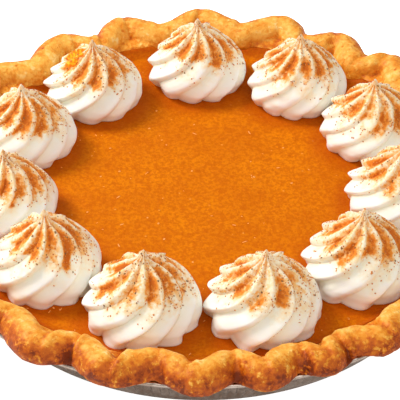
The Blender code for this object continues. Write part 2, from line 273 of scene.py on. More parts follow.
class Bench:
    """Adds nodes to one tree and wires them up."""

    def __init__(self, tree):
        self.tree = tree

    def feed(self, socket, value):
        if isinstance(value, Wire):
            self.tree.links.new(value.socket, socket)
        elif value is not None:
            socket.default_value = value

    def node(self, kind, *values, inputs=None, **settings):
        """A new node: its settings, then its inputs in order, then its inputs by name."""
        node = self.tree.nodes.new(kind)
        for name, value in settings.items():
            setattr(node, name, value)
        usable = [socket for socket in node.inputs if socket.enabled]
        for socket, value in zip(usable, values):
            self.feed(socket, value)
        for name, value in (inputs or {}).items():
            self.feed(next(socket for socket in usable if socket.name == name), value)
        return node

    def wire(self, kind, *values, output=0, inputs=None, **settings):
        """The same, giving one of the node's outputs."""
        node = self.node(kind, *values, inputs=inputs, **settings)
        usable = [socket for socket in node.outputs if socket.enabled]
        return Wire(self, usable[output])

    def calc(self, operation, *values):
        return self.wire("ShaderNodeMath", *values, operation=operation)

    def chance(self, number):
        """A random value from 0 to 1, always the same for the same number."""
        return self.wire("ShaderNodeTexWhiteNoise", number, noise_dimensions="1D")

    def random(self, low, high, seed, data_type="FLOAT"):
        """A random value or vector for each point."""
        return self.wire("FunctionNodeRandomValue", low, high, None, seed, data_type=data_type)

    def scaled(self, vector, length):
        inputs = {"Vector": vector, "Scale": length}
        return self.wire("ShaderNodeVectorMath", operation="SCALE", inputs=inputs)

    def mark(self, shape, name, value):
        """Keep a value for each point of a shape under a name that materials and other trees read."""
        inputs = {"Geometry": shape, "Name": name, "Value": value}
        return self.wire("GeometryNodeStoreNamedAttribute", inputs=inputs)

    def read(self, name):
        return self.wire("GeometryNodeInputNamedAttribute", name, data_type="FLOAT")

    def move(self, shape, **inputs):
        """Move each point of a shape by an Offset or to a Position."""
        return self.wire("GeometryNodeSetPosition", inputs={"Geometry": shape, **inputs})

    def vector(self, x, y, z):
        return self.wire("ShaderNodeCombineXYZ", x, y, z)

    def split(self, vector):
        node = self.node("ShaderNodeSeparateXYZ", vector)
        return [Wire(self, socket) for socket in node.outputs]

    def noise(self, vector, size, detail=2.0, roughness=0.5):
        """Smooth random values about 0.5, with lumps of this size."""
        inputs = {"Vector": vector, "Scale": 1.0 / size, "Detail": detail, "Roughness": roughness}
        return self.wire("ShaderNodeTexNoise", inputs=inputs)

    def mix(self, share, first, second):
        """A blend of two colours."""
        inputs = {"Factor": share, "A": first, "B": second}
        return self.wire("ShaderNodeMix", data_type="RGBA", inputs=inputs)

    def colours(self, value, stops):
        """A colour that runs through (place, colour) stops as value goes from 0 to 1."""
        node = self.node("ShaderNodeValToRGB", value)
        elements = node.color_ramp.elements
        while len(elements) < len(stops):
            elements.new(0.5)
        for element, (place, colour) in zip(elements, stops):
            element.position = place
            element.color = colour
        return Wire(self, node.outputs[0])

    def group(self, tree, **values):
        """One of the shared effects, with this place's own values. Gives its first output."""
        node = self.node("ShaderNodeGroup", node_tree=tree)
        for name, value in values.items():
            self.feed(node.inputs[name.replace("_", " ").capitalize()], value)
        return Wire(self, node.outputs[0])


def numbers(*names):
    """Inputs of a tree that are plain numbers."""
    return [(name, "number") for name in names]


def new_tree(name, kind, takes, gives):
    """A new node tree with named inputs and one output: its bench, and its inputs as wires."""
    tree = bpy.data.node_groups.new(name, kind)
    for in_out, sockets in (("INPUT", takes), ("OUTPUT", [gives])):
        for socket_name, socket_kind, *default in sockets:
            socket_type = SOCKET_KINDS[socket_kind]
            socket = tree.interface.new_socket(socket_name, in_out=in_out, socket_type=socket_type)
            if default:
                socket.default_value = default[0]
    bench = Bench(tree)
    entry = bench.node("NodeGroupInput")
    return bench, {socket.name: Wire(bench, socket) for socket in entry.outputs if socket.name}


def new_shape_tree(name, takes, gives):
    """A tree for shapes. Its last input is the material."""
    return new_tree(name, "GeometryNodeTree", [*takes, ("Material", "material")], (gives, "shape"))


def new_effect(name, takes, gives):
    """A group for finishes. Its first input is the place on the piece."""
    return new_tree(name, "ShaderNodeTree", [("Place", "vector"), *numbers(*takes)], (gives, "number"))


def end_tree(bench, value):
    """Wire up the tree's output."""
    bench.feed(bench.node("NodeGroupOutput").inputs[0], value)
    return bench.tree


def end_shape_tree(bench, shape, material):
    """The last steps of every shape tree: instances made real, shaded smooth, and the material set."""
    real = bench.wire("GeometryNodeRealizeInstances", shape)
    smooth = bench.wire("GeometryNodeSetShadeSmooth", real)
    inputs = {"Geometry": smooth, "Material": material}
    return end_tree(bench, bench.wire("GeometryNodeSetMaterial", inputs=inputs))


def run_tree(piece, tree, **values):
    """Run a shape tree on a piece with the inputs given, and keep the result as the piece's plain mesh."""
    modifier = piece.modifiers.new(tree.name, "NODES")
    modifier.node_group = tree
    for item in tree.interface.items_tree:
        key = item.name.lower().replace(" ", "_")
        if item.item_type == "SOCKET" and item.in_out == "INPUT" and key in values:
            modifier[item.identifier] = values[key]
    bpy.context.view_layer.update()
    graph = bpy.context.evaluated_depsgraph_get()
    made = bpy.data.meshes.new_from_object(
        piece.evaluated_get(graph), preserve_all_data_layers=True, depsgraph=graph
    )
    piece.modifiers.remove(modifier)
    old = piece.data
    piece.data = made
    bpy.data.meshes.remove(old)
    made.name = piece.name
    return piece


def new_piece(name, mesh):
    piece = bpy.data.objects.new(name, mesh)
    bpy.context.scene.collection.objects.link(piece)
    return piece


# --- shape trees ---


def rosette_tree():
    """A rosette as a star nozzle pipes it: ridges wind up from a broad foot and meet in a drawn-out tip.

    It starts as a flat grid, once round by foot to tip. Row 0 becomes the middle of the underside.
    """
    takes = [
        *numbers("Radius", "Height"),
        ("Ridges", "count", RIDGES),
        ("Steps", "count", RIDGE_STEPS),
        ("Rings", "count", ROSETTE_RINGS),
        ("Twist", "number", math.radians(RIDGE_TWIST_DEG)),
        ("Flap side", "number", math.radians(FLICK_DEG)),
        *numbers("Tip ridge", "Lean", "Flap", "Foot spread", "Dusting", "Spill", "Seed"),
    ]
    bench, given = new_shape_tree("Piped rosette", takes, "Rosette")
    rings = given["Rings"]
    seed = given["Seed"] * 7.31
    grid = bench.wire("GeometryNodeMeshGrid", 1.0, 1.0, given["Ridges"] * given["Steps"] + 1.0, rings)
    across, up, _ = bench.split(bench.wire("GeometryNodeInputPosition"))
    turn = (across + 0.5) * (2.0 * math.pi)
    row = (up + 0.5) * (rings - 1.0)
    share = bench.calc("MAXIMUM", (row - 1.0) / (rings - 2.0), 0.0)

    # How far each point is from its ridge's crest, from 0 to 1 in the groove.
    ridge_place = (across + 0.5) * given["Ridges"]
    nearest = bench.calc("ROUND", ridge_place)
    beside = ridge_place - nearest
    hang = ROLL_OVER * share.ramp(0.75, 0.40)
    away = bench.calc("MAXIMUM", (beside - hang) / (0.5 - hang), (hang - beside) / (hang + 0.5))
    ridge = bench.calc("FLOORED_MODULO", nearest, given["Ridges"]) + seed
    own = bench.chance(ridge) - 0.5
    own_flap = bench.chance(ridge + 50.5)

    low_down = share.ramp(0.0, TWIST_END_SHARE) * TWIST_LOW_DOWN
    wound = given["Twist"] * (low_down + share * (1.0 - TWIST_LOW_DOWN) - 1.0)
    crowd = (turn + seed).sine() * (RIDGE_CROWDING * share.ramp(0.9, 0.2))
    angle = given["Tip ridge"] + turn + wound + crowd
    cosine = angle.cosine()
    sine = angle.sine()

    roundness = share.curve(ROUNDNESS_CURVE) + 1.0
    roll = 1.0 - (1.0 - away**roundness) ** VALLEY_WIDTH
    groove = share.curve(GROOVE_CURVE) * (1.0 + own * 0.5)
    flat_place = bench.vector(cosine + seed, sine, share * 2.0)
    lumps = (bench.noise(flat_place, 0.55, detail=1.0) - 0.5) * LUMPS
    # Patterns that follow the ridges read a place on a circle, so that they meet where the grid's ends join.
    circle = (turn.cosine(), turn.sine())
    strand_place = bench.vector(circle[0] * 4.8 + seed, circle[1] * 4.8, share * 2.2)
    strands = (bench.noise(strand_place, 1.0, detail=2.0, roughness=0.6) - 0.5) * STRANDS

    facing = (angle - given["Flap side"]).cosine().ramp(0.93, 0.99)
    flap_size = (facing * given["Flap"] + own_flap * 0.10) * (1.0 - away) ** 1.8
    flap = share.curve(FLAP_CURVE) * flap_size
    behind = (angle - given["Flap side"] - SHOULDER_SIDE).cosine().ramp(0.82, 0.98)
    shoulder = share.curve(SHOULDER_CURVE) * behind * (1.0 - away) ** 1.2

    crest = share.curve(CREST_CURVE) * (1.0 + own * (2.0 * RIDGE_UNEVENNESS) * (1.0 - away) + lumps)
    foot = given["Foot spread"] * (1.0 - bench.calc("MINIMUM", share / FOOT_SPREAD_TOP, 1.0)) ** 2.0
    patches = bench.noise(flat_place, 0.45, detail=3.0, roughness=0.65)
    dusty_side = (angle - DUST_SIDE).cosine()
    start = DUST_FROM - DUST_LOWER_ON_SIDE * dusty_side - (patches - 0.5) * DUST_EDGE_STRAY
    fallen = share.ramp(start - 0.12, start + 0.16)
    crumb_place = bench.vector(crest * cosine * 17.0 + seed, crest * sine * 17.0, share * 24.0)
    crumbs = (bench.noise(crumb_place, 1.0, detail=1.0) - 0.5) * CRUMBS * fallen
    reach = (crest + foot) * (1.0 - groove * roll + strands) + flap * FLAP_REACH + shoulder * SHOULDER_REACH
    reach = reach + crumbs * share.ramp(0.95, 0.80)
    radius = given["Radius"] * reach * bench.calc("GREATER_THAN", row, 0.5)
    leaning = given["Lean"] * share * share
    height = given["Height"] * (share + flap * 0.035 + shoulder * 0.01)
    place = bench.vector(radius * cosine + leaning, radius * sine, height)

    # Cinnamon: a thin fall over the top, and in each valley a drift of its own length and thickness.
    covered = share.ramp(start, start + 0.20)
    blotch_place = bench.vector(circle[0] * 1.3 + seed, circle[1] * 1.3, share * 5.0)
    blotches = bench.noise(blotch_place, 1.0, detail=1.5).ramp(0.36, 0.54)
    run_in = away.ramp(0.05, 0.62)
    valley = bench.calc("FLOORED_MODULO", bench.calc("FLOOR", ridge_place), given["Ridges"]) + seed
    full = bench.chance(valley + 20.5)
    middle = bench.chance(valley + 35.5) * DRIFT_MIDDLE_SPREAD + DRIFT_MIDDLE
    beyond = bench.calc("ABSOLUTE", share - middle) / (full * DRIFT_REACH_SPREAD + DRIFT_REACH)
    drift = beyond.ramp(1.25, 0.55) * (0.45 + 0.55 * full)
    thin_fall = (0.20 + 0.20 * run_in) * (0.55 + 0.45 * blotches)
    heavy = run_in * (0.66 * drift + 0.26 * blotches * share.ramp(0.84, 0.64))
    dust = covered * (thin_fall + heavy) * given["Dusting"]
    sprinkled = fallen * (0.45 + 0.55 * dusty_side.ramp(-0.3, 0.8)) * (0.5 + 0.5 * blotches)
    spill_place = (angle - SPILL_SIDE).cosine().ramp(0.82, 0.97)
    spill = given["Spill"] * spill_place * share.ramp(0.60, 0.68) * share.ramp(0.86, 0.78)

    shape = bench.mark(grid, "groove", away)
    for name, value in (("dust", dust), ("fallen", fallen), ("sprinkled", sprinkled), ("spill", spill)):
        shape = bench.mark(shape, name, value)
    shape = bench.move(shape, Position=place)
    shape = bench.wire("GeometryNodeMergeByDistance", inputs={"Geometry": shape, "Distance": 0.000002})
    return end_shape_tree(bench, shape, given["Material"])


def rib_tree():
    """Presses upright ribs into a turned wall, between two heights, and a ripple into what lies above."""
    takes = [
        ("Wall", "shape"),
        ("Ribs", "count", TIN_RIBS),
        ("Depth", "number", TIN_RIB_DEPTH),
        ("From", "number", TIN_RIBS_FROM_Z),
        ("To", "number", TIN_LEDGE_TOP_Z - 0.001),
        ("Ripple", "number", TIN_LEDGE_RIPPLE),
    ]
    bench, given = new_shape_tree("Pressed ribs", takes, "Wall")
    x, y, z = bench.split(bench.wire("GeometryNodeInputPosition"))
    angle = bench.calc("ARCTAN2", y, x)
    cosine = angle.cosine()
    sine = angle.sine()
    wander = (bench.noise(bench.vector(cosine, sine, 0.0), 0.35) - 0.5) * TIN_RIB_WANDER
    wave = (angle * given["Ribs"] + wander).cosine()
    above_foot = z.ramp(given["From"], given["From"] + TIN_RIB_RUN_OUT)
    below_ledge = z.ramp(given["To"], given["To"] - TIN_RIB_RUN_OUT)
    push = wave * given["Depth"] * (above_foot * below_ledge)
    lift = wave * given["Ripple"] * z.ramp(given["To"], given["To"] + 0.0008)
    shape = bench.move(given["Wall"], Offset=bench.vector(cosine * push, sine * push, 0.0))
    shape = bench.move(shape, Offset=bench.vector(0.0, 0.0, lift))
    return end_shape_tree(bench, shape, given["Material"])


def relief_tree():
    """Raises a baked surface into lumps, blisters and crags, as far as its `relief` attribute lets it."""
    sizes = numbers("Lump size", "Blister size", "Crag size")
    heights = numbers("Lump height", "Blister height", "Crag height")
    takes = [("Surface", "shape"), *sizes, *heights]
    bench, given = new_shape_tree("Baked relief", takes, "Surface")
    place = bench.wire("GeometryNodeInputPosition")
    height = 0.0
    swells = []
    for kind, detail in (("Lump", 1.0), ("Blister", 2.0), ("Crag", 2.0)):
        swells.append(bench.noise(place, given[f"{kind} size"], detail, roughness=0.6))
        height = height + (swells[-1] - 0.5) * 2.0 * given[f"{kind} height"]
    raised = swells[1] * 0.6 + swells[2] * 0.4
    offset = bench.scaled(bench.wire("GeometryNodeInputNormal"), height * bench.read("relief"))
    shape = bench.mark(given["Surface"], "raised", raised)
    shape = bench.move(shape, Offset=offset)
    return end_shape_tree(bench, shape, given["Material"])


def scatter_tree():
    """Scatters small uneven bits over a surface, more of them where the attribute in `Where` is high."""
    takes = [
        ("Surface", "shape"),
        ("Where", "name"),
        *numbers("Density", "Size", "Spread", "Length", "Flatness"),
        ("Seed", "count"),
    ]
    bench, given = new_shape_tree("Scattered bits", takes, "Bits")
    seed = given["Seed"]
    density = given["Density"] * bench.read(given["Where"])
    spots = bench.node(
        "GeometryNodeDistributePointsOnFaces",
        distribute_method="RANDOM",
        inputs={"Mesh": given["Surface"], "Density": density, "Seed": seed},
    )
    size = given["Size"] * bench.random(1.0 - given["Spread"], 1.0 + given["Spread"], seed)
    bits = bench.wire(
        "GeometryNodeInstanceOnPoints",
        inputs={
            "Points": Wire(bench, spots.outputs["Points"]),
            "Instance": bench.wire("GeometryNodeMeshIcoSphere", 1.0, 1),
            "Rotation": Wire(bench, spots.outputs["Rotation"]),
            "Scale": bench.vector(size * given["Length"], size, size * given["Flatness"]),
        },
    )
    turned = bench.random((-0.4, -0.4, -math.pi), (0.4, 0.4, math.pi), seed + 1.0, "FLOAT_VECTOR")
    bits = bench.wire("GeometryNodeRotateInstances", inputs={"Instances": bits, "Rotation": turned})
    bits = bench.wire("GeometryNodeRealizeInstances", bits)
    dent = bench.random((-1.0,) * 3, (1.0,) * 3, seed + 2.0, "FLOAT_VECTOR")
    bits = bench.move(bits, Offset=bench.scaled(dent, given["Size"] * 0.3))
    return end_shape_tree(bench, bits, given["Material"])


# --- shared effects of the finishes ---


def mottle_group():
    """Soft patches of one size, from 0 to 1."""
    bench, given = new_effect("Mottle", ("Size", "Low", "High"), "Amount")
    patches = bench.noise(given["Place"], given["Size"], detail=4.0, roughness=0.6)
    return end_tree(bench, patches.ramp(given["Low"], given["High"]))


def speck_group():
    """Small separate specks, each of its own strength: 1 in a speck's middle and 0 between them."""
    bench, given = new_effect("Specks", ("Spacing", "Width", "Share"), "Amount")
    wander = bench.wire("ShaderNodeTexNoise", output=1, inputs={"Vector": given["Place"], "Scale": 900.0})
    stray = (0.0006,) * 3
    bent = bench.wire("ShaderNodeVectorMath", wander, stray, given["Place"], operation="MULTIPLY_ADD")
    cells = bench.node(
        "ShaderNodeTexVoronoi", inputs={"Vector": bent, "Scale": 1.0 / given["Spacing"], "Randomness": 1.0}
    )
    strength = bench.split(Wire(bench, cells.outputs["Color"]))[0]
    near = Wire(bench, cells.outputs["Distance"]).ramp(given["Width"], given["Width"] * 0.4)
    chosen = strength.ramp(1.0 - given["Share"], 1.0 - given["Share"] + 0.15)
    return end_tree(bench, near * chosen)


def grain_group():
    """The height of a finely grained surface: two sizes of noise, for a bump."""
    bench, given = new_effect("Grain", ("Coarse", "Fine", "Fine share"), "Height")
    coarse = bench.noise(given["Place"], given["Coarse"], detail=2.0, roughness=0.55)
    fine = bench.noise(given["Place"], given["Fine"], detail=2.0, roughness=0.55)
    return end_tree(bench, coarse * (1.0 - given["Fine share"]) + fine * given["Fine share"])


MOTTLE = mottle_group()
SPECKS = speck_group()
GRAIN = grain_group()


class Finish(Bench):
    """A material and its Principled shader. Settings are constants, set on the shader's own sockets."""

    def __init__(self, name, **settings):
        self.material = bpy.data.materials.new(name)
        self.material.use_nodes = True
        super().__init__(self.material.node_tree)
        self.shader = self.tree.nodes["Principled BSDF"]
        for setting, value in settings.items():
            self.shader.inputs[setting.replace("_", " ")].default_value = value
        self.place = Wire(self, self.node("ShaderNodeTexCoord").outputs["Object"])

    def mottle(self, size, low, high):
        return self.group(MOTTLE, place=self.place, size=size, low=low, high=high)

    def specks(self, spacing, width, share):
        return self.group(SPECKS, place=self.place, spacing=spacing, width=width, share=share)

    def grain(self, coarse, fine, fine_share):
        return self.group(GRAIN, place=self.place, coarse=coarse, fine=fine, fine_share=fine_share)

    def read(self, name):
        return Wire(self, self.node("ShaderNodeAttribute", attribute_name=name).outputs["Fac"])

    def layers(self, colour, *over):
        """The colour with each of the others laid over it in turn, by its share."""
        for share, other in over:
            colour = self.mix(share, colour, other)
        return colour

    def end(self, colour, roughness, height, distance):
        """Colour, roughness and bump of the shader. The bump's height runs from 0 to 1, times distance."""
        inputs = {"Strength": 1.0, "Distance": distance, "Height": height}
        bumped = self.wire("ShaderNodeBump", inputs=inputs)
        for name, value in (("Base Color", colour), ("Roughness", roughness), ("Normal", bumped)):
            self.feed(self.shader.inputs[name], value)
        return self.material


def food(shine, glow, depth, reach):
    """Constants for a shader that light sinks into, to a depth in metres times its reach by colour."""
    light = {"Subsurface_Weight": glow, "Subsurface_Scale": depth, "Subsurface_Radius": reach}
    return {"Specular_IOR_Level": shine, **light}


# --- finishes ---


def foil_finish():
    """Thin pressed aluminium: grey, softly mirroring, smoked and greasy from the oven."""
    foil = Finish("pressed_foil", Metallic=1.0)
    smoke = foil.mottle(0.010, 0.40, 0.62)
    clean = foil.mix(foil.mottle(0.0018, 0.35, 0.65), tone(204, 188, 176), tone(184, 166, 152))
    colour = foil.mix(smoke * 0.6, clean, tone(146, 120, 102))
    return foil.end(colour, smoke * 0.14 + 0.20, foil.grain(0.004, 0.0012, 0.3), distance=0.0002)


def pastry_finish():
    """Baked shortcrust: gold where it swells, browner in its hollows as painted shade, browner on its lower
    faces and in its folds from baking and painted shade, and browner in patches.
    """
    pastry = Finish("baked_pastry", **food(0.25, 0.05, 0.004, (1.0, 0.5, 0.2)))
    # The crust browns as it bakes; low on its faces, in its folds and where it meets the filling this also
    # stands for painted shade.
    bake = pastry.read("bake")
    wide = pastry.mottle(0.011, 0.40, 0.62)
    small = pastry.mottle(0.0050, 0.42, 0.60)
    fine = pastry.mottle(0.0017, 0.42, 0.58)
    crumbs = pastry.mottle(0.0030, 0.54, 0.64)
    scorch = pastry.mottle(0.0060, 0.54, 0.64)
    freckles = pastry.specks(0.0060, 0.17, 0.45)
    # Painted shade: darker, and rougher, in the hollows between blisters.
    shaded_hollow = pastry.read("raised").ramp(0.58, 0.40)
    speckled = small * (0.09 + 0.13 * bake) + fine * (0.05 + 0.14 * bake) + shaded_hollow * (0.10 + 0.10 * bake)
    crackled = scorch * (0.35 + 0.65 * fine) * (bake * 0.32 + 0.02)
    lighter = crumbs * (bake * 0.42 + 0.05) + 0.02
    amount = bake * 0.62 + wide * 0.12 + speckled + crackled + freckles * (1.0 - bake) * 0.34 - lighter
    colour = pastry.colours(
        amount,
        [
            (0.0, tone(255, 216, 140)),
            (0.16, tone(246, 182, 78)),
            (0.36, tone(229, 141, 32)),
            (0.56, tone(203, 102, 10)),
            (0.76, tone(176, 76, 5)),
            (1.0, tone(126, 48, 5)),
        ],
    )
    height = pastry.grain(0.0016, 0.0006, 0.45) + crumbs * 0.4
    return pastry.end(colour, 0.50 - wide * 0.12 + shaded_hollow * 0.14, height, distance=0.00045)


def custard_finish():
    """Baked sweet potato custard: deep orange, finely stippled, darker where it meets the pastry from
    browning and painted shade, and darker round the cream as painted shade.
    """
    custard = Finish("sweet_potato_custard", **food(0.05, 0.04, 0.003, (1.0, 0.45, 0.1)))
    wide = custard.mottle(0.026, 0.35, 0.65)
    stipple = custard.mottle(0.0015, 0.38, 0.62)
    freckles = custard.mottle(0.0044, 0.52, 0.70)
    bubbles = custard.specks(0.0045, 0.15, 0.35)
    colour = custard.layers(
        tone(220, 123, 0),
        (wide, tone(209, 112, 0)),
        (stipple * 0.8, tone(192, 92, 0)),
        (freckles * 0.5, tone(184, 84, 0)),
        (bubbles * 0.55, tone(255, 172, 72)),
        # Painted shade round the feet of the rosettes.
        (custard.read("damp") * 0.65, tone(176, 74, 2)),
        # Darker at the crust: a browned edge and painted shade.
        (custard.read("edge") * 0.7, tone(168, 62, 4)),
    )
    height = custard.grain(0.003, 0.0009, 0.5) + bubbles * 0.4
    return custard.end(colour, 0.5 + stipple * 0.12, height, distance=0.0005)


def cream_finish():
    """Whipped cream, warm white, with painted shade in its grooves, and cinnamon lying on its tops and run
    into its grooves.
    """
    cream = Finish("whipped_cream", **food(0.2, 0.45, 0.003, (1.0, 0.9, 0.7)))
    dust = cream.read("dust")
    groove = cream.read("groove")
    fallen = cream.read("fallen")
    powder = cream.mottle(0.0014, 0.41, 0.59)
    clumps = cream.mottle(0.0042, 0.40, 0.58)
    loose = cream.specks(0.0036, 0.13, 0.35)
    warm = fallen * (0.45 + powder * 0.35 + clumps * 0.20)
    thin = (dust * (0.50 + powder * 0.65 + clumps * 0.30)).ramp(0.12, 0.46)
    thick = (dust * (0.60 + clumps * 0.46) + powder * 0.16).ramp(0.46, 0.74)
    deep = (dust * (0.4 + groove * 0.6) * (0.42 + powder * 0.3 + clumps * 0.4)).ramp(0.48, 0.80)
    spill = (cream.read("spill") * (0.45 + clumps * 0.4 + powder * 0.3)).ramp(0.30, 0.50)
    colour = cream.layers(
        tone(253, 254, 247),
        # Painted shade in the grooves.
        (groove * 0.5, tone(246, 238, 208)),
        (warm * 0.95, tone(253, 214, 158)),
        (thin * 0.9, tone(247, 190, 116)),
        (thick, tone(235, 143, 48)),
        (deep * 0.85, tone(202, 98, 18)),
        (spill, cream.mix(powder, tone(252, 184, 24), tone(240, 132, 16))),
        (loose * fallen * 0.6, tone(184, 128, 84)),
    )
    height = cream.grain(0.0022, 0.0007, 0.35) * (0.35 + thin * 0.65)
    return cream.end(colour, 0.42 + thin * 0.35, height, distance=0.0003)


def bit_finish(name, light, dark, roughness):
    """One kind of scattered bit, its colour varying from bit to bit."""
    bit = Finish(name)
    colour = bit.mix(bit.mottle(0.0012, 0.3, 0.7), light, dark)
    return bit.end(colour, roughness, bit.grain(0.0004, 0.0002, 0.5), distance=0.0001)


# --- building meshes ring by ring ---


def loft(name, rings, first_centre, last_centre):
    """A closed mesh through rings of points, counter-clockwise from above, with a fan at each end."""
    rings = np.asarray(rings)
    count, around, _ = rings.shape
    points = np.concatenate([rings.reshape(-1, 3), [first_centre, last_centre]])
    here = np.arange(around)
    there = (here + 1) % around
    start, end = count * around, count * around + 1
    faces = [(start, int(b), int(a)) for a, b in zip(here, there)]
    for lower in range(count - 1):
        low, high = lower * around, (lower + 1) * around
        faces += np.stack([low + here, low + there, high + there, high + here], axis=1).tolist()
    last = (count - 1) * around
    faces += [(last + int(a), last + int(b), end) for a, b in zip(here, there)]
    mesh = bpy.data.meshes.new(name)
    mesh.from_pydata(points.tolist(), [], faces)
    mesh.shade_smooth()
    return mesh


def set_attribute(mesh, name, values, ends=(0.0, 0.0)):
    """One value for each point of the rings in order, then one for the point in the middle of each end."""
    every = np.concatenate([np.ravel(values), ends]).astype(np.float32)
    mesh.attributes.new(name, "FLOAT", "POINT").data.foreach_set("value", every)


def ring(angles, radii, heights):
    return np.stack([radii * np.cos(angles), radii * np.sin(angles), heights + 0 * angles], axis=1)


def blend(share):
    """0 to 1 with a level start and end."""
    share = np.clip(share, 0.0, 1.0)
    return share * share * (3.0 - 2.0 * share)


def smooth_between(rings, steps):
    """Rings along a smooth line through the given ones, with this many steps between two of them."""
    padded = [2 * rings[0] - rings[1], *rings, 2 * rings[-1] - rings[-2]]
    made = []
    for before, first, second, after in zip(padded, padded[1:], padded[2:], padded[3:]):
        for step in range(steps):
            t = step / steps
            square = 2 * before - 5 * first + 4 * second - after
            cube = 3 * first - before - 3 * second + after
            made.append(0.5 * (2 * first + (second - before) * t + square * t**2 + cube * t**3))
    return [*made, rings[-1]]


# --- the foil tin ---


def tin_wall_r(z):
    return TIN_BASE_R + (TIN_LEDGE_R - TIN_BASE_R) / (TIN_LEDGE_TOP_Z - TIN_SHEET) * z


def make_tin(ribs, material):
    """The turned sheet, from the middle of its underside up its outside, round the bead and down inside."""
    top = TIN_LEDGE_TOP_Z
    bead = TIN_RIM_R - TIN_BEAD_R
    bead_z = top - TIN_BEAD_SINK
    thin = TIN_SHEET
    profile = [(TIN_BASE_R - reach, 0.0) for reach in (0.06, 0.02, 0.004)]
    profile += [(TIN_BASE_R - 0.0008, 0.0001), (tin_wall_r(0.0009), 0.0009)]
    profile += [(tin_wall_r(z), z) for z in np.linspace(0.002, top - thin - 0.0012, 18)]
    profile += [(tin_wall_r(top - thin) + 0.0004, top - thin), (bead - 1.5 * TIN_BEAD_R, top - thin)]
    for degrees in range(-115, 116, 23):
        turn = math.radians(degrees)
        profile.append((bead + TIN_BEAD_R * math.cos(turn), bead_z + TIN_BEAD_R * math.sin(turn)))
    profile += [(bead - 1.5 * TIN_BEAD_R, top), (tin_wall_r(top) - 0.0005, top)]
    profile += [(tin_wall_r(z) - 0.0010, z) for z in np.linspace(top - 0.0012, 0.002, 18)]
    profile += [(tin_wall_r(thin) - 0.0012, thin), (0.06, thin)]
    angles = np.linspace(0.0, 2.0 * math.pi, TIN_RIBS * TIN_STEPS_A_RIB, endpoint=False)
    rings = [ring(angles, radius, z) for radius, z in profile]
    tin = new_piece("foil_tin", loft("foil_tin", rings, (0.0, 0.0, 0.0), (0.0, 0.0, thin)))
    return run_tree(tin, ribs, material=material)


# --- the crust ---


def shell_outer_r(z):
    return tin_wall_r(z) - SHELL_CLEAR


def evenly_between(first, last):
    return np.linspace(first, last, FLUTES_PER_SIDE + 2)[1:-1]


def all_flutes():
    """Angle in radians of every outward bend of the rope, once round, and its lean, swing and rise."""
    left = evenly_between(BACK_FLUTES[-1], FRONT_FLUTES[0])
    right = evenly_between(FRONT_FLUTES[-1], np.add(BACK_FLUTES[0], (360.0, 0.0, 0.0, 0.0)))
    flutes = np.array([*BACK_FLUTES, *left, *FRONT_FLUTES, *right])
    return np.radians(flutes[:, 0]), flutes[:, 1:]


def rope_path(steps):
    """The rope's middle line: angle, radius, height, thickness, and its swing from 0, inwards, to 1."""
    draw = random.Random(CRUST_SEED)
    bends, shapes = all_flutes()
    count = len(bends)
    lumps = FLUTE_UNEVENNESS * np.array([[draw.uniform(-1.0, 1.0) for _ in range(3)] for _ in bends])
    points = []
    for flute in range(count):
        following = (flute + 1) % count
        width = (bends[following] - bends[flute]) % (2.0 * math.pi)
        for step in range(steps):
            share = step / steps
            wave = math.cos(2.0 * math.pi * share)
            near = blend(share)
            lump = (1.0 - near) * lumps[flute] + near * lumps[following]
            lean, swing, rise = (1.0 - near) * shapes[flute] + near * shapes[following]
            angle = bends[flute] + share * width
            radius = ROPE_MEAN_R + swing * wave + lean + lump[0]
            height = ROPE_LIFT_Z + ROPE_RISE * wave + rise + lump[1]
            points.append((angle, radius, height, ROPE_R + THICKNESS_UNEVENNESS * lump[2], 0.5 + 0.5 * wave))
    return np.array(points).T


def rope_side(angles, section_deg, path):
    """Distance from the axis to the rope's surface, at one angle round its section, 0 being outwards."""
    path_angles, path_radii, _, thickness, _ = path
    width = thickness * abs(math.cos(math.radians(section_deg)))
    turn = angles[:, None] - path_angles[None, :]
    across = path_radii * np.sin(turn)
    inside = width**2 - across**2
    reach = np.sqrt(np.maximum(inside, 0.0))
    along = path_radii * np.cos(turn)
    met = (inside >= 0.0) & (np.cos(turn) > 0.0)
    if abs(section_deg) < 90.0:
        return np.where(met, along + reach, 0.0).max(axis=1)
    return np.where(met, along - reach, 1.0).min(axis=1)


def filling_edge(angles, path):
    """Radius and height of the filling's edge: its full reach, or less where the rope bulges inwards."""
    edge_r = np.minimum(FILLING_EDGE_R, rope_side(angles, 180.0, path) - 2.0 * FILLING_CLEAR)
    towards_back = 0.5 + 0.5 * np.sin(angles)
    full_z = FILLING_FRONT_EDGE_Z + (FILLING_BACK_EDGE_Z - FILLING_FRONT_EDGE_Z) * towards_back
    risen = (edge_r - FILLING_LEVEL_R) / (FILLING_EDGE_R - FILLING_LEVEL_R)
    return edge_r, FILLING_TOP_Z + (full_z - FILLING_TOP_Z) * risen


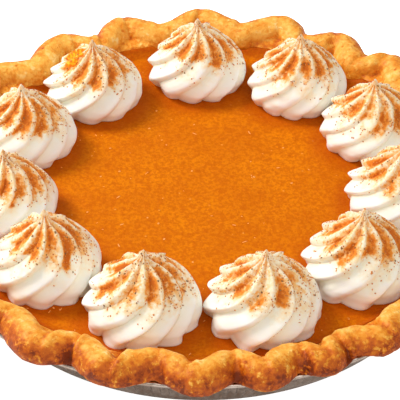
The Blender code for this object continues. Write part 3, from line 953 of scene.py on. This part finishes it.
def crease_depth(angles, section_deg):
    """How deep the pinches press into the rope, in metres, at one angle round its section.

    A crease is steep on its anticlockwise side, where the next flute swells up into a lip, and gentle on the
    other side.
    """
    draw = random.Random(CRUST_SEED + 1)
    bends, _ = all_flutes()
    inwards = bends + 0.5 * ((np.roll(bends, -1) - bends) % (2.0 * math.pi))
    folded, top, stretched = CREASE_DEPTHS
    towards_out = np.clip((160.0 - section_deg) / 140.0, 0.0, 1.0)
    pitch = 2.0 * math.pi / len(bends)
    depth = np.zeros(len(angles))
    for places, share in ((bends, towards_out), (inwards, 1.0 - towards_out)):
        full_depth = folded + (top - folded) * blend(2.0 * share)
        full_depth = full_depth + (stretched - top) * blend(2.0 * share - 1.0)
        for place in places:
            strength = 1.0 + draw.uniform(-CREASE_UNEVENNESS, CREASE_UNEVENNESS)
            wander = (draw.uniform(-1.0, 1.0) + draw.uniform(-1.0, 1.0) * share) * CREASE_WANDER * pitch
            beside = (angles - place - wander + math.pi) % (2.0 * math.pi) - math.pi
            beside = beside * ROPE_MEAN_R
            width = np.where(beside > 0.0, CREASE_STEEP_SIDE, CREASE_GENTLE_SIDE)
            lip = CREASE_LIP * np.exp(-((beside / CREASE_STEEP_SIDE - 2.6) ** 2) / 1.6)
            depth += strength * full_depth * (np.exp(-((beside / width) ** 2)) - lip / folded)
    return depth * (1.0 - CREASE_FADE_AT_BACK * blend(0.5 + 0.8 * np.sin(angles)))


def make_crust(relief, material):
    angles, _, middle_z, thickness, out = rope_path(FLUTE_STEPS)
    path = rope_path(FINE_STEPS)
    outer_r = rope_side(angles, 0.0, path)
    hang = blend(out)
    ledge_z = TIN_LEDGE_TOP_Z + SHELL_GAP
    over_bead_r = np.minimum(TIN_RIM_R + SHELL_GAP, outer_r - LIP_WIDTH)
    over_bead_z = TIN_LEDGE_TOP_Z + BEAD_CLEAR
    lip_z = over_bead_z - LIP_DROOP * hang**1.5
    side_z = lip_z + LIP_ROUND * (1.0 + hang)
    edge_r, edge_z = filling_edge(angles, path)

    def over_the_top(section_deg):
        section = math.radians(section_deg)
        press = crease_depth(angles, section_deg)
        radii = rope_side(angles, section_deg, path) - press * math.cos(section)
        return ring(angles, radii, middle_z + (thickness - press) * math.sin(section))

    underside = [
        ring(angles, shell_outer_r(SHELL_UNDERSIDE_Z), SHELL_UNDERSIDE_Z),
        ring(angles, shell_outer_r(ledge_z), ledge_z),
    ]
    lip = smooth_between(
        [
            ring(angles, over_bead_r, over_bead_z),
            ring(angles, 0.5 * (over_bead_r + outer_r), lip_z),
            ring(angles, outer_r - LIP_ROUND * hang, side_z),
            over_the_top(8.0),
        ],
        3,
    )
    rope = [over_the_top(section) for section in ROPE_SECTIONS_DEG]
    shelf_end = ring(angles, edge_r + FILLING_CLEAR, edge_z + FILLING_CLEAR)
    shelf = [rope[-1] + (shelf_end - rope[-1]) * blend(share) for share in (0.25, 0.5, 0.75)]
    shelf.append(shelf_end)
    wall = [ring(angles, shell_outer_r(SHELL_FLOOR_Z) - SHELL_WALL, SHELL_FLOOR_Z)]
    rings = [*underside, *lip, *rope, *shelf, *wall]
    mesh = loft("fluted_crust", rings, (0.0, 0.0, SHELL_UNDERSIDE_Z), (0.0, 0.0, SHELL_FLOOR_Z))

    free = np.ones(len(rings))
    free[: len(underside) + 2] = 0.0
    free[-2:] = (0.25, 0.0)
    set_attribute(mesh, "relief", np.repeat(free, len(angles)))
    # Browner low on the outside, in the folds between flutes, and where the rope meets the filling, from
    # baking and from painted shade; paler again at the very bottom, as painted light bounced up from below.
    bake = []
    section = np.concatenate([np.full(len(underside), -90.0), np.linspace(-50.0, 8.0, len(lip))])
    section = np.concatenate([section, ROPE_SECTIONS_DEG, np.full(len(shelf) + 1, 190.0)])
    for degrees in section:
        low_outside = blend((105.0 - degrees) / 105.0) - 0.5 * blend((-5.0 - degrees) / 30.0)
        low_inside = blend((degrees - 150.0) / 40.0)
        folded = np.clip(crease_depth(angles, degrees) / CREASE_DEPTHS[0], 0.0, 1.0)
        bake.append(BAKE + BAKE_AND_SHADE_OUTSIDE * low_outside + BAKE_AND_SHADE_INSIDE * low_inside + BAKE_AND_SHADE_IN_FOLDS * folded)
    set_attribute(mesh, "bake", bake)
    crust = new_piece("fluted_crust", mesh)
    sizes = {"lump_size": 0.010, "blister_size": 0.0042, "crag_size": 0.0014}
    heights = {"lump_height": 0.0007, "blister_height": 0.00034, "crag_height": 0.00011}
    return run_tree(crust, relief, **sizes, **heights, material=material)


# --- the filling ---


def make_filling(relief, material):
    angles = rope_path(16)[0]
    edge_r, edge_z = filling_edge(angles, rope_path(FINE_STEPS))
    floor_z = SHELL_FLOOR_Z + GAP
    rings = [ring(angles, FILLING_FOOT_R, floor_z)]
    level = ring(angles, FILLING_LEVEL_R - 0.001, FILLING_TOP_Z)
    top = ring(angles, edge_r, edge_z)
    for share in np.linspace(0.0, 1.0, 9)[:-1]:
        slope = top + (level - top) * share
        slope[:, 2] = edge_z + (FILLING_TOP_Z - edge_z) * blend(share**0.8)
        rings.append(slope)
    for radius in np.linspace(FILLING_LEVEL_R - 0.001, 0.0, FILLING_RINGS, endpoint=False):
        rings.append(ring(angles, radius, FILLING_TOP_Z))
    mesh = loft("baked_filling", rings, (0.0, 0.0, floor_z), (0.0, 0.0, FILLING_TOP_Z))
    free = np.ones(len(rings))
    free[:2] = 0.0
    # Darker towards the crust, as a browned edge and as painted shade.
    edge = np.zeros(len(rings))
    edge[:10] = (1.0, 1.0, 1.0, 0.8, 0.6, 0.45, 0.3, 0.2, 0.1, 0.05)
    set_attribute(mesh, "relief", np.repeat(free, len(angles)), ends=(0.0, 1.0))
    set_attribute(mesh, "edge", np.repeat(edge, len(angles)), ends=(1.0, 0.0))
    points = np.array(rings).reshape(-1, 3)
    reach = np.hypot(points[:, 0], points[:, 1])
    # Pale flecks lie thickest towards the front left.
    towards = 0.5 + 0.5 * (-0.7 * points[:, 0] - 0.7 * points[:, 1]) / FILLING_LEVEL_R
    on_top = (reach < FILLING_LEVEL_R) & (points[:, 2] > SHELL_FLOOR_Z + 0.01)
    flecked = np.where(on_top, 0.12 + 0.88 * towards**3, 0.0)
    set_attribute(mesh, "flecked", flecked, ends=(0.0, 0.5))
    # Painted shade: the custard is darker close round the cream, where the rosettes shade it.
    damp = np.zeros(len(points))
    for angle_deg, distance, radius, *_ in ROSETTES:
        angle = math.radians(angle_deg)
        beside = points[:, :2] - (distance * math.cos(angle), distance * math.sin(angle))
        off = np.hypot(beside[:, 0], beside[:, 1]) - radius
        damp = np.maximum(damp, blend(1.0 - off / SHADE_ROUND_CREAM_WIDTH))
    set_attribute(mesh, "damp", damp)
    filling = new_piece("baked_filling", mesh)
    sizes = {"lump_size": 0.022, "blister_size": 0.0045, "crag_size": 0.002}
    heights = {"lump_height": 0.0003, "blister_height": 0.0001, "crag_height": 0.00003}
    return run_tree(filling, relief, **sizes, **heights, material=material)


# --- the cream ---


def make_rosette(number, tree, material):
    angle_deg, distance, radius, height, lean, tip_ridge_deg, flap, dusting = ROSETTES[number - 1]
    angle = math.radians(angle_deg)
    rosette = new_piece(f"rosette_{number:02d}", bpy.data.meshes.new("seed"))
    values = {"radius": radius, "height": height, "lean": lean, "flap": flap, "dusting": dusting}
    values["tip_ridge"] = math.radians(tip_ridge_deg)
    values["foot_spread"] = FRONT_FOOT_SPREAD * (0.5 - 0.5 * math.sin(angle))
    values["spill"] = float(number == SPILLED_ON)
    run_tree(rosette, tree, **values, seed=float(number), material=material)
    shift = (distance * math.cos(angle), distance * math.sin(angle), FILLING_TOP_Z + 0.5 * GAP)
    points = np.empty(len(rosette.data.vertices) * 3, np.float32)
    rosette.data.vertices.foreach_get("co", points)
    rosette.data.vertices.foreach_set("co", (points.reshape(-1, 3) + np.array(shift, np.float32)).ravel())
    rosette.data.update()
    return rosette


def joined_copy(name, pieces):
    """One new piece holding copies of the meshes of several."""
    copies = []
    for piece in pieces:
        copy = piece.copy()
        copy.data = piece.data.copy()
        bpy.context.scene.collection.objects.link(copy)
        copies.append(copy)
    if len(copies) > 1:
        with bpy.context.temp_override(
            active_object=copies[0], selected_editable_objects=copies, selected_objects=copies
        ):
            bpy.ops.object.join()
    copies[0].name = name
    return copies[0]


# --- the studio ---


def make_area_light(name, place, size, watts, colour):
    """A square lamp that shines at the pie's middle."""
    lamp = bpy.data.lights.new(name, "AREA")
    lamp.shape = "SQUARE"
    lamp.size = size
    lamp.energy = watts
    lamp.color = colour
    light = bpy.data.objects.new(name, lamp)
    light.location = place
    light.rotation_euler = light.location.to_track_quat("Z", "Y").to_euler()
    bpy.context.scene.collection.objects.link(light)


def make_studio():
    scene = bpy.context.scene
    scene.view_settings.view_transform = "Standard"
    world = bpy.data.worlds.new("studio_air")
    world.use_nodes = True
    air = world.node_tree.nodes["Background"]
    air.inputs["Color"].default_value = (1.0, 0.985, 0.96, 1.0)
    air.inputs["Strength"].default_value = 0.58
    scene.world = world
    make_area_light("window", (-0.85, 0.40, 0.95), size=0.45, watts=15.0, colour=(1.0, 0.985, 0.96))
    make_area_light("fill", (0.3, -0.9, 0.9), size=1.2, watts=4.0, colour=(1.0, 0.98, 0.95))

    floor_mesh = bpy.data.meshes.new("floor")
    corners = [(x * FLOOR_HALF, y * FLOOR_HALF, 0) for x, y in ((-1, -1), (1, -1), (1, 1), (-1, 1))]
    floor_mesh.from_pydata(corners, [], [(0, 1, 2, 3)])
    floor = new_piece("floor", floor_mesh)
    paper = Finish("pale_floor", Roughness=0.8, Emission_Color=(1.0, 1.0, 1.0, 1.0))
    pale = paper.mix(paper.mottle(0.4, 0.3, 0.7), (0.93, 0.93, 0.93, 1.0), (0.95, 0.95, 0.95, 1.0))
    paper.feed(paper.shader.inputs["Base Color"], pale)
    # It glows, to the eye only, so that the shadows on it stay faint.
    seen = Wire(paper, paper.node("ShaderNodeLightPath").outputs["Is Camera Ray"])
    paper.feed(paper.shader.inputs["Emission Strength"], seen * FLOOR_GLOW)
    floor_mesh.materials.append(paper.material)

    camera_data = bpy.data.cameras.new("camera")
    camera_data.lens = CAMERA_LENS_MM
    camera_data.sensor_width = SENSOR_MM
    camera = bpy.data.objects.new("camera", camera_data)
    camera.location = CAMERA_PLACE
    camera.rotation_euler = (math.radians(CAMERA_TILT_DEG), 0.0, 0.0)
    scene.collection.objects.link(camera)
    scene.camera = camera


# --- putting the pie together ---


def settle(piece, slot, *nodes):
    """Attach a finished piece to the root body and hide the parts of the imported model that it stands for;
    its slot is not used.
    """
    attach(piece, ROOT)
    if nodes:
        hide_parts(*nodes)


def make_pie():
    relief = relief_tree()
    settle(make_tin(rib_tree(), foil_finish()), "foil", "tin")
    settle(make_crust(relief, pastry_finish()), "pastry", "crust")
    filling = make_filling(relief, custard_finish())
    settle(filling, "custard", "filling")
    cream = cream_finish()
    tree = rosette_tree()
    rosettes = [make_rosette(number, tree, cream) for number in range(1, len(ROSETTES) + 1)]
    for number, rosette in enumerate(rosettes, start=1):
        settle(rosette, "cream", f"cream_{number:02d}")

    scatter = scatter_tree()
    cinnamon = bit_finish("cinnamon", tone(236, 160, 84), tone(190, 104, 38), 0.85)
    bark = bit_finish("cinnamon_bark", tone(168, 122, 70), tone(124, 86, 46), 0.8)
    pale = bit_finish("sweet_potato_fibre", tone(255, 186, 104), tone(250, 160, 70), 0.5)
    # Name, what the bits lie on, slot and material, then the scatter tree's other inputs in this order.
    keys = ("where", "density", "size", "spread", "length", "flatness", "seed")
    bits = (
        ("cinnamon_grains", rosettes, "cream", cinnamon, "sprinkled", 560000.0, 0.00027, 0.45, 1.3, 0.7, 3),
        ("cinnamon_specks", rosettes, "cream", bark, "fallen", 30000.0, 0.00031, 0.35, 1.5, 0.5, 8),
        ("filling_flecks", [filling], "custard", pale, "flecked", 15000.0, 0.00038, 0.5, 1.2, 0.35, 5),
        ("filling_fibres", [filling], "custard", pale, "flecked", 6500.0, 0.00024, 0.4, 5.0, 0.5, 6),
    )
    for name, pieces, slot, material, *values in bits:
        piece = joined_copy(name, pieces)
        settle(run_tree(piece, scatter, **dict(zip(keys, values)), material=material), slot)


make_pie()
make_studio()
